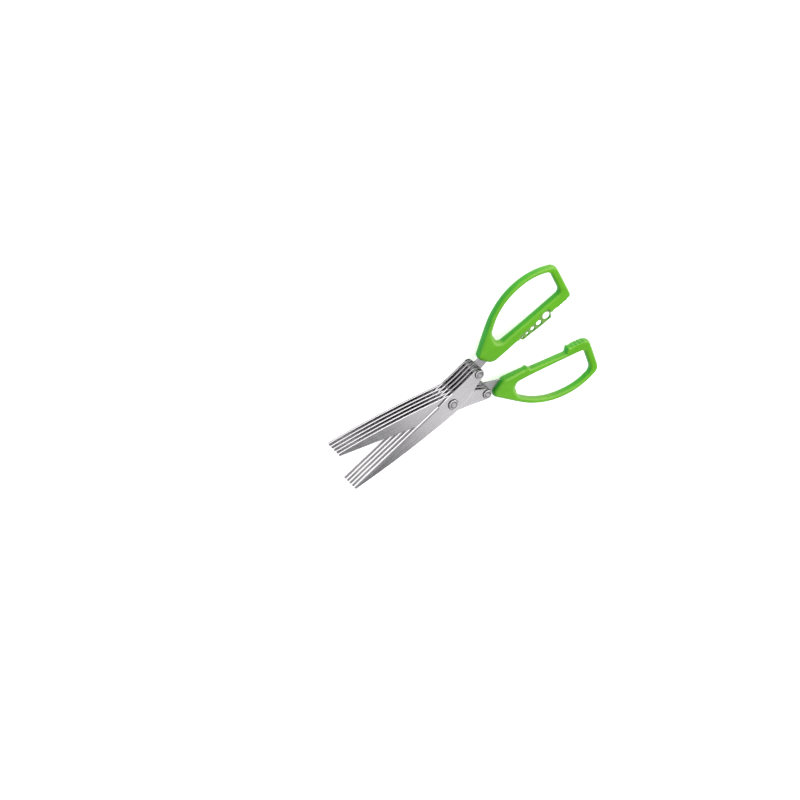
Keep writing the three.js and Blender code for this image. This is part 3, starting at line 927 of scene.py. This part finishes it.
def head_profile(radius, height, sizes, sign, base):
    """Half profile of a rivet head from its middle to its foot: a low crown with a turned groove.

    Sign says which way the head faces.
    """
    groove, depth = radius * sizes.groove_share, sizes.groove_depth / MM
    rim, level = sizes.head_round / MM, height - HEAD_CROWN
    points = []
    for step in range(CROWN_STEPS + 1):
        share = step / CROWN_STEPS
        points.append(((groove - GROOVE_HALF) * share, height - HEAD_CROWN * share ** 2, 0.0))
    for step in range(1, GROOVE_STEPS):
        angle = math.pi * step / GROOVE_STEPS
        points.append((groove - GROOVE_HALF * math.cos(angle), level - depth * math.sin(angle), 0.0))
    points.append((groove + GROOVE_HALF, level, LIP_RUB))
    for step in range(RIM_STEPS + 1):
        angle = math.pi / 2 * step / RIM_STEPS
        x, z = radius - rim + rim * math.sin(angle), level - rim + rim * math.cos(angle)
        points.append((x, z, math.sin(2 * angle)))
    points.append((radius, height * FOOT_SHARE, WALL_RUB))
    points.append((radius - HEAD_FOOT, 0.0, FOOT_RUB))
    return [(r, base + sign * z, e) for r, z, e in points]


def rivet_shell(shaft, head, low, high, centre, sizes):
    """A rivet between its lowest and highest point, with painted shade in the groove and on the wall of both
    its heads.
    """
    radius, height = head
    top = head_profile(radius, height, sizes, 1, high - height)
    bottom = head_profile(radius, height, sizes, -1, low + height)
    profile = [*top, (shaft, high - height, 0.0), (shaft, low + height, 0.0), *reversed(bottom)]
    groove_end = CROWN_STEPS + GROOVE_STEPS - 1
    wall_start = groove_end + 2 + RIM_STEPS // 2
    # The groove gets the torn steel and the wall the nearly black steel, both as painted shade.
    slots = dict.fromkeys(range(CROWN_STEPS + 1, groove_end), RIVET_FINISHES.index("torn_painted_shade"))
    slots |= dict.fromkeys(range(wall_start, len(top) - 1), RIVET_FINISHES.index("dark"))
    slots |= {len(profile) - 2 - ring: slot for ring, slot in slots.items()}
    shell = Shell()
    shell.lathe(profile, centre, slots=slots)
    return shell


def ring_shell(outer, inner, low, high, centre, chamfer):
    """A flat ring with its edges broken."""
    radii = (inner, inner + chamfer, outer - chamfer, outer)
    lower = zip(radii, (low + chamfer, low, low, low + chamfer), RING_RUBS)
    upper = zip(radii, (high - chamfer, high, high, high - chamfer), RING_RUBS)
    profile = [*lower, *reversed(list(upper))]
    shell = Shell()
    shell.lathe(profile, centre, closed=True)
    return shell


# Shader nodes


def node(tree, kind, inputs=None, **settings):
    """Adds a node, with its settings, and its inputs given as values or as sockets to link."""
    made = tree.nodes.new(kind)
    for key, value in settings.items():
        setattr(made, key, value)
    for key, value in (inputs or {}).items():
        if isinstance(value, bpy.types.NodeSocket):
            tree.links.new(value, made.inputs[key])
        else:
            made.inputs[key].default_value = value
    return made


def math_node(tree, operation, *values):
    """A Math node's result."""
    return node(tree, "ShaderNodeMath", dict(enumerate(values)), operation=operation).outputs[0]


def ramp(tree, value, low, high, to_low=0.0, to_high=1.0):
    """A value mapped from one range to another, with soft ends."""
    return node(tree, "ShaderNodeMapRange", {
        "Value": value, "From Min": low, "From Max": high, "To Min": to_low, "To Max": to_high,
    }, interpolation_type="SMOOTHSTEP").outputs["Result"]


def blend(tree, factor, first, second):
    """A mix of two colours."""
    return node(tree, "ShaderNodeMix", {0: factor, 6: first, 7: second}, data_type="RGBA").outputs[2]


def scaled(tree, value, factor, offset):
    """A value times a factor, plus an offset."""
    return math_node(tree, "MULTIPLY_ADD", value, factor, offset)


def stretched(tree, place, stretch):
    """A place with each of its axes stretched."""
    return node(tree, "ShaderNodeVectorMath", {0: place, 1: stretch}, operation="MULTIPLY").outputs[0]


def noise(tree, place, scale, detail, roughness=0.5, distortion=0.0):
    """A noise's value at a place."""
    return node(tree, "ShaderNodeTexNoise", {
        "Vector": place, "Scale": scale, "Detail": detail, "Roughness": roughness, "Distortion": distortion,
    }).outputs["Fac"]


def new_group(name, outputs, **defaults):
    """A shader node group that reads a place and the inputs that have defaults, and gives numbers."""
    group = bpy.data.node_groups.new(name, "ShaderNodeTree")
    group.interface.new_socket("Place", in_out="INPUT", socket_type="NodeSocketVector")
    for label, default in defaults.items():
        kind = "NodeSocketFloat" if isinstance(default, float) else "NodeSocketVector"
        socket = group.interface.new_socket(label.capitalize(), in_out="INPUT", socket_type=kind)
        socket.default_value = default
    for label in outputs:
        group.interface.new_socket(label, in_out="OUTPUT", socket_type="NodeSocketFloat")
    return group, group.nodes.new("NodeGroupInput").outputs, group.nodes.new("NodeGroupOutput").inputs


def give_mask(group, given, result, mask):
    """Gives a mask, times the amount asked for, as the output of its group."""
    group.links.new(math_node(group, "MULTIPLY", mask, given["Amount"]), result["Mask"])
    return group


def grain_group():
    """Fine parallel lines that grinding or brushing leaves, as a shade and a height."""
    group, given, result = new_group(
        "Grinding grain", ("Shade", "Height"), stretch=(0.05, 4, 4), depth=1.0,
    )
    place = stretched(group, given["Place"], given["Stretch"])
    fine = noise(group, place, 1.0, 4.0, 0.65)
    coarse = noise(group, place, 0.31, 2.0, 0.5)
    shade = ramp(group, scaled(group, coarse, 0.45, fine), 0.45, 0.98)
    group.links.new(shade, result["Shade"])
    group.links.new(math_node(group, "MULTIPLY", shade, given["Depth"]), result["Height"])
    return group


def smudge_group():
    """Faint marks of handling, larger than the grain, as a mask."""
    group, given, result = new_group("Handling smudges", ("Mask",), size=9.0, amount=1.0)
    scale = math_node(group, "DIVIDE", 1.0, given["Size"])
    cloud = noise(group, given["Place"], scale, 5.0, 0.6, 0.6)
    return give_mask(group, given, result, ramp(group, cloud, 0.46, 0.7))


def scratch_group():
    """Thin, sparse scratches in two directions, as a mask."""
    group, given, result = new_group("Thin scratches", ("Mask",), amount=1.0)
    found = []
    for turn, shift in ((0.5, 0.0), (-0.9, 37.0)):
        turned = node(group, "ShaderNodeMapping", {
            "Vector": given["Place"], "Location": (shift, shift, 0), "Rotation": (0, 0, turn),
            "Scale": (0.05, 1.9, 0.6),
        }, vector_type="POINT").outputs[0]
        found.append(ramp(group, noise(group, turned, 1.0, 3.0, 0.7), 0.655, 0.69))
    return give_mask(group, given, result, math_node(group, "MAXIMUM", *found))


def wear_group():
    """Where an edge is rubbed bright, broken up by a cloud, as a mask."""
    group, given, result = new_group("Rubbed edges", ("Mask",), edge=0.0, amount=1.0)
    reach = scaled(group, noise(group, given["Place"], 0.7, 4.0, 0.6), 0.9, -0.45)
    worn = ramp(group, math_node(group, "ADD", given["Edge"], reach), 0.35, 0.95)
    return give_mask(group, given, result, worn)


def placed(tree, group, **values):
    """A node group's outputs in a material, with its own values."""
    inputs = {key.capitalize(): value for key, value in values.items()}
    return node(tree, "ShaderNodeGroup", inputs, node_tree=group).outputs


def new_finish(name, metallic, **constants):
    """A material with a Principled shader, and the place and edge values of its piece."""
    material = bpy.data.materials.new(name)
    material.use_nodes = True
    tree = material.node_tree
    tree.nodes.clear()
    shader = node(tree, "ShaderNodeBsdfPrincipled", {"Metallic": metallic, **constants})
    node(tree, "ShaderNodeOutputMaterial", {"Surface": shader.outputs[0]})
    place = node(tree, "ShaderNodeAttribute", attribute_name="place").outputs["Vector"]
    edge = node(tree, "ShaderNodeAttribute", attribute_name="edge").outputs["Fac"]
    return material, tree, shader, place, edge


def feed(tree, shader, colour, roughness, height, distance, strength):
    """Links a finish's colour, roughness and bump to its shader."""
    tree.links.new(colour, shader.inputs["Base Color"])
    tree.links.new(roughness, shader.inputs["Roughness"])
    bump = node(tree, "ShaderNodeBump", {"Height": height, "Distance": distance * MM, "Strength": strength})
    tree.links.new(bump.outputs[0], shader.inputs["Normal"])


def shaded(colour, share):
    """A colour made darker or lighter."""
    return (*(min(1.0, c * share) for c in colour[:3]), 1.0)


def steel_finish(groups, colour, name, share, rough, stretch, depth, rubbing, dark):
    """Steel with grain in one direction, smudges, scratches and rubbed edges."""
    material, tree, shader, place, edge = new_finish(name, 1.0)
    colour = shaded(colour, share)
    grain = placed(tree, groups["grain"], place=place, stretch=stretch, depth=1.0)
    smudge = placed(tree, groups["smudge"], place=place, size=11.0, amount=1.0)["Mask"]
    scratch = placed(tree, groups["scratch"], place=place, amount=1.0)["Mask"]
    worn = placed(tree, groups["wear"], place=place, edge=edge, amount=rubbing)["Mask"]
    base = blend(tree, grain["Shade"], shaded(colour, dark), colour)
    base = blend(tree, math_node(tree, "MULTIPLY", smudge, 0.16), base, shaded(colour, 0.88))
    base = blend(tree, worn, base, shaded(colour, 1.25))
    roughness = scaled(tree, grain["Shade"], -0.08, rough + 0.04)
    roughness = scaled(tree, smudge, 0.03, roughness)
    roughness = scaled(tree, worn, -0.05, roughness)
    height = scaled(tree, scratch, -0.5, grain["Height"])
    feed(tree, shader, base, roughness, height, depth, 1.0)
    return material


def plastic_finish(groups, name, top_colour, side_shade_colour, crest_highlight_colour, line_width):
    """Moulded plastic: a faint orange peel, a parting line, smudges and softly polished edges.

    Upright sides get a deeper green as painted shade, and what faces away from the blades gets a paler
    painted highlight at its sides and rubbed edges.
    """
    material, tree, shader, place, edge = new_finish(name, 0.0, **{
        "Subsurface Weight": 0.12, "Subsurface Scale": 0.0015, "Subsurface Radius": (0.5, 1.0, 0.2),
        "Specular IOR Level": 0.22,
    })
    smudge = placed(tree, groups["smudge"], place=place, size=13.0, amount=1.0)["Mask"]
    scratch = placed(tree, groups["scratch"], place=place, amount=0.6)["Mask"]
    worn = placed(tree, groups["wear"], place=place, edge=edge, amount=1.0)["Mask"]
    peel = noise(tree, place, 1.3, 3.0, 0.55)
    flow = noise(tree, stretched(tree, place, (0.03, 0.09, 0.09)), 1.0, 3.0, distortion=0.8)
    flow = ramp(tree, flow, 0.35, 0.65)
    facing = node(tree, "ShaderNodeSeparateXYZ", {0: node(tree, "ShaderNodeNewGeometry").outputs["Normal"]})
    along = facing.outputs["X"]
    # Painted shade: upright sides get the deeper side colour, most where they face the blades.
    upright_shade = ramp(tree, math_node(tree, "ABSOLUTE", facing.outputs["Z"]), 0.1, 0.85, 1.0, 0.0)
    facing_shade = ramp(tree, along, -0.2, 0.7, 0.6, 1.0)
    # Painted highlight: walls and rubbed edges that face away from the blades are paler.
    facing_highlight = ramp(tree, along, -0.4, 0.45, 1.0, 0.0)
    averted_highlight = ramp(tree, along, -0.45, -0.1, 1.0, 0.0)
    side = blend(tree, flow, shaded(side_shade_colour, 0.94), shaded(side_shade_colour, 1.05))
    side = blend(tree, averted_highlight, side, shaded(crest_highlight_colour, 0.75))
    base = blend(tree, flow, shaded(top_colour, 0.94), shaded(top_colour, 1.05))
    base = blend(tree, math_node(tree, "MULTIPLY", upright_shade, facing_shade), base, side)
    # Rubbed edges facing away from the blades take the crest colour: wear with a painted highlight.
    base = blend(tree, math_node(tree, "MULTIPLY", worn, facing_highlight), base, tuple(crest_highlight_colour))
    level = math_node(tree, "ABSOLUTE", node(tree, "ShaderNodeSeparateXYZ", {0: place}).outputs["Z"])
    line_half = line_width / MM / 2
    line = ramp(tree, level, line_half * 0.6, line_half * 1.6, 1.0, 0.0)
    base = blend(tree, math_node(tree, "MULTIPLY", line, 0.3), base, shaded(side_shade_colour, 0.7))
    roughness = scaled(tree, smudge, 0.08, 0.36)
    roughness = scaled(tree, worn, -0.06, roughness)
    roughness = scaled(tree, scratch, 0.12, roughness)
    height = scaled(tree, peel, 0.55, math_node(tree, "MULTIPLY", line, 0.5))
    height = scaled(tree, scratch, -0.35, height)
    feed(tree, shader, base, roughness, height, 0.035, 1.0)
    return material


def floor_finish(groups, colour):
    """Pale matt floor, lit a little from below, with a faint mottle."""
    material, tree, shader, _, _ = new_finish(
        "Pale floor", 0.0, **{"Emission Color": (1.0, 1.0, 1.0, 1.0), "Emission Strength": 0.5},
    )
    place = node(tree, "ShaderNodeTexCoord").outputs["Object"]
    cloud = placed(tree, groups["smudge"], place=place, size=0.4, amount=0.5)["Mask"]
    base = blend(tree, cloud, shaded(colour, 1.0), shaded(colour, 0.985))
    roughness = scaled(tree, cloud, 0.1, 0.6)
    feed(tree, shader, base, roughness, noise(tree, place, 260.0, 4.0), 0.02, 0.3)
    return material


# Sizes, colours and operators


def length_property(label, description, size, low, high):
    """A length that a user can change, given in millimetres."""
    return FloatProperty(
        name=label, description=description, default=size * MM, min=low * MM, max=high * MM,
        unit="LENGTH", precision=6,
    )


def share_property(label, description, size, low, high):
    """A share that a user can change."""
    return FloatProperty(
        name=label, description=description, default=size, min=low, max=high, subtype="FACTOR",
    )


def colour_property(label, description, value):
    """A colour that a user can change."""
    return FloatVectorProperty(
        name=label, description=description, default=(*value, 1.0), min=0.0, max=1.0,
        subtype="COLOR", size=4,
    )


class ScissorSizes(bpy.types.PropertyGroup):
    """Sizes of the fine detail."""

    edge_break: length_property(
        "Blade edge break", "Width of the broken edge of a blade's faces", 0.08, 0.02, 0.2,
    )
    # The smooth band is burnished and also carries a painted highlight; the rest is the torn band in painted
    # shade.
    burnished_share: share_property(
        "Burnished band", "Share of a blade's sheared side that is smooth and bright", 0.55, 0.1, 0.9,
    )
    handle_draft: length_property(
        "Moulding draft", "How far a handle's side leans in from its parting line", 0.1, 0.0, 0.4,
    )
    parting_line: length_property(
        "Parting line", "Width of the line where the two halves of the mould met", 0.25, 0.05, 1,
    )
    head_round: length_property(
        "Rivet head rounding", "Radius of the rounded rim of a rivet head", 0.6, 0.2, 0.8,
    )
    groove_share: share_property(
        "Rivet groove", "Radius of the groove as a share of the head's radius", 0.56, 0.3, 0.6,
    )
    groove_depth: length_property("Rivet groove depth", "Depth of the groove in a rivet head", 0.3, 0.05, 0.5)
    ring_chamfer: length_property(
        "Ring edge break", "Width of the broken edge of the spacers and washers", 0.07, 0.02, 0.15,
    )
    floor_reach: length_property(
        "Floor reach", "Distance from the scissors to the edge of the floor", 9000, 1000, 30000,
    )


class ScissorColours(bpy.types.PropertyGroup):
    """Colours of the finishes."""

    plastic: colour_property("Handle plastic", "Colour of the moulded handles", (0.118, 0.41, 0.014))
    # Painted shade: the plate is the handle's plastic, given a duller green for the shade in its pocket.
    plate: colour_property("Stripper plate", "Colour of the thin plate with the holes", (0.165, 0.34, 0.07))
    # Painted shade: the deeper green of upright sides.
    plastic_side_shade: colour_property(
        "Handle sides in painted shade", "Colour of the handles' upright sides", (0.014, 0.29, 0.016),
    )
    # The crest colour marks rubbed edges and is a painted highlight.
    plastic_crest_highlight: colour_property("Handle crest highlights", "Colour of the handles' rubbed edges and painted crest highlights", (0.21, 0.47, 0.07))
    steel: colour_property("Blade steel", "Colour of the blades and rivets", (0.665, 0.65, 0.665))
    # Painted shade: the spacers and washers are darkened to the shade between the blades.
    ring_steel_painted_shade: colour_property("Ring steel in painted shade", "Colour of the spacers and washers", (0.15, 0.15, 0.155))
    floor: colour_property("Floor", "Colour of the floor", (0.9, 0.9, 0.9))


class SCISSORS_OT_finishes(bpy.types.Operator):
    """Makes the steel, plastic and floor finishes"""

    bl_idname = "scissors.finishes"
    bl_label = "Make the finishes"

    def execute(self, context):
        sizes, colours = context.scene.scissor_sizes, context.scene.scissor_colours
        groups = {
            "grain": grain_group(), "smudge": smudge_group(), "scratch": scratch_group(),
            "wear": wear_group(),
        }
        for key, values in STEELS.items():
            colour = colours.ring_steel_painted_shade if key == "ring" else colours.steel
            FINISHES[key] = steel_finish(groups, colour, *values)
        greens = (colours.plastic_side_shade, colours.plastic_crest_highlight, sizes.parting_line)
        FINISHES["plastic"] = plastic_finish(groups, "Green moulding", colours.plastic, *greens)
        # The plate is the handle's plastic with a duller green as painted shade.
        FINISHES["plate"] = plastic_finish(groups, "Thin green plate in painted shade", colours.plate, *greens)
        FINISHES["floor"] = floor_finish(groups, colours.floor)
        return {"FINISHED"}


class SCISSORS_OT_blades(bpy.types.Operator):
    """Builds the ten blades"""

    bl_idname = "scissors.blades"
    bl_label = "Build the blades"

    def execute(self, context):
        sizes = context.scene.scissor_sizes
        smooth = sizes.burnished_share
        for letter, share, bands in (("a", 1 - smooth, (TORN_PAINTED_SHADE, BURNISHED_HIGHLIGHT)), ("b", smooth, (BURNISHED_HIGHLIGHT, TORN_PAINTED_SHADE))):
            for number in range(1, BLADE_COUNT + 1):
                part, has_tail = f"blade_{letter}{number}", number == MIDDLE_BLADE
                low, high = heights(part, letter)
                levels = (low, low + (high - low) * share, high)
                shell = Shell()
                columns = blade_columns(has_tail, levels, sizes.edge_break / MM)
                shell.skin(columns, slot_of=blade_slots(bands))
                if has_tail:
                    paint_tail_shade(shell)
                make_piece(part, letter, shell, PIVOT, "blade_steel", BLADE_FINISHES)
        return {"FINISHED"}


class SCISSORS_OT_rivets(bpy.types.Operator):
    """Builds the pivot rivet and the two tang rivets"""

    bl_idname = "scissors.rivets"
    bl_label = "Build the rivets"

    def execute(self, context):
        for part, letter, shaft, head, centre in (
            ("pivot_rivet", "a", PIVOT_SHAFT, PIVOT_HEAD, PIVOT),
            ("tang_rivet_a", "a", TANG_SHAFT, TANG_HEAD, TANG),
            ("tang_rivet_b", "b", TANG_SHAFT, TANG_HEAD, TANG),
        ):
            low, high = heights(part, letter)
            shell = rivet_shell(shaft, head, low, high, centre, context.scene.scissor_sizes)
            make_piece(part, letter, shell, centre, "rivet_steel", RIVET_FINISHES)
        return {"FINISHED"}


class SCISSORS_OT_rings(bpy.types.Operator):
    """Builds the tang spacers and the pivot washers"""

    bl_idname = "scissors.rings"
    bl_label = "Build the spacers and washers"

    def execute(self, context):
        chamfer = context.scene.scissor_sizes.ring_chamfer / MM
        for name, letter, outer, shaft, centre in (
            ("pivot_washer_", "a", WASHER_RADIUS, PIVOT_SHAFT, PIVOT),
            ("tang_spacer_a", "a", SPACER_RADIUS, TANG_SHAFT, TANG),
            ("tang_spacer_b", "b", SPACER_RADIUS, TANG_SHAFT, TANG),
        ):
            for number in range(1, BLADE_COUNT):
                part = f"{name}{number}"
                low, high = heights(part, letter)
                shell = ring_shell(outer, shaft + BORE_CLEARANCE, low, high, centre, chamfer)
                make_piece(part, letter, shell, centre, "spacer_steel", ("ring",))
        return {"FINISHED"}


class SCISSORS_OT_handles(bpy.types.Operator):
    """Builds the two moulded handles"""

    bl_idname = "scissors.handles"
    bl_label = "Build the handles"

    def execute(self, context):
        draft = context.scene.scissor_sizes.handle_draft / MM
        for letter, finishes in HANDLE_FINISHES.items():
            shell = handle_shell(letter, draft)
            make_piece(f"handle_{letter}", letter, shell, PIVOT, "handle_plastic", finishes)
        return {"FINISHED"}


def soft_light(name, place, aim, width, depth, power, colour):
    """A rectangular soft light that faces its aim and stays out of the picture."""
    light = bpy.data.lights.new(name, "AREA")
    light.shape, light.size, light.size_y = "RECTANGLE", width, depth
    light.energy, light.color = power, colour
    lamp = bpy.data.objects.new(name, light)
    lamp.location = place
    lamp.rotation_euler = (Vector(aim) - Vector(place)).to_track_quat("-Z", "Y").to_euler()
    lamp.visible_camera = False
    lamp.visible_glossy = name != UNREFLECTED
    bpy.context.scene.collection.objects.link(lamp)


class SCISSORS_OT_stage(bpy.types.Operator):
    """Makes the floor, the soft lights and the camera"""

    bl_idname = "scissors.stage"
    bl_label = "Make the stage"

    def execute(self, context):
        reach = context.scene.scissor_sizes.floor_reach
        mesh = bpy.data.meshes.new("floor")
        work = bmesh.new()
        bmesh.ops.create_grid(work, x_segments=FLOOR_CELLS, y_segments=FLOOR_CELLS, size=reach)
        work.to_mesh(mesh)
        work.free()
        mesh.materials.append(FINISHES["floor"])
        floor = bpy.data.objects.new("floor", mesh)
        context.scene.collection.objects.link(floor)

        world = bpy.data.worlds.new("Pale room")
        world.use_nodes = True
        background = world.node_tree.nodes["Background"]
        background.inputs["Color"].default_value = ROOM_COLOUR
        background.inputs["Strength"].default_value = ROOM_STRENGTH
        context.scene.world = world
        for name, values in LIGHTS.items():
            soft_light(name, *values)

        lens = bpy.data.cameras.new("photo camera")
        lens.sensor_fit, lens.sensor_width = "HORIZONTAL", SENSOR_WIDTH
        lens.lens = PHOTO_FOCUS / PHOTO_WIDTH * SENSOR_WIDTH
        lens.clip_start, lens.clip_end = CAMERA_CLIP
        camera = bpy.data.objects.new("photo camera", lens)
        camera.location = CAMERA_PLACE
        camera.rotation_euler = Euler([math.radians(angle) for angle in CAMERA_TURN])
        context.scene.collection.objects.link(camera)
        context.scene.camera = camera
        context.scene.view_settings.view_transform = "Standard"
        return {"FINISHED"}


class SCISSORS_PT_panel(bpy.types.Panel):
    """Lists the sizes, the colours and what builds each group of pieces"""

    bl_idname = "SCISSORS_PT_panel"
    bl_label = "Herb scissors"
    bl_space_type = "VIEW_3D"
    bl_region_type = "UI"
    bl_category = "Scissors"

    def draw(self, context):
        for settings in (context.scene.scissor_sizes, context.scene.scissor_colours):
            box = self.layout.box()
            for name in settings.__annotations__:
                box.prop(settings, name)
        for operator in OPERATORS:
            self.layout.operator(operator.bl_idname)


OPERATORS = (
    SCISSORS_OT_finishes,
    SCISSORS_OT_blades,
    SCISSORS_OT_rivets,
    SCISSORS_OT_rings,
    SCISSORS_OT_handles,
    SCISSORS_OT_stage,
)
CLASSES = (ScissorSizes, ScissorColours, *OPERATORS, SCISSORS_PT_panel)


def register():
    for cls in CLASSES:
        bpy.utils.register_class(cls)
    bpy.types.Scene.scissor_sizes = PointerProperty(type=ScissorSizes)
    bpy.types.Scene.scissor_colours = PointerProperty(type=ScissorColours)


def unregister():
    del bpy.types.Scene.scissor_colours
    del bpy.types.Scene.scissor_sizes
    for cls in reversed(CLASSES):
        bpy.utils.unregister_class(cls)


def main():
    register()
    bpy.ops.scissors.finishes()
    bpy.ops.scissors.blades()
    bpy.ops.scissors.rivets()
    bpy.ops.scissors.rings()
    bpy.ops.scissors.handles()
    bpy.ops.scissors.stage()


if __name__ == "__main__":
    main()
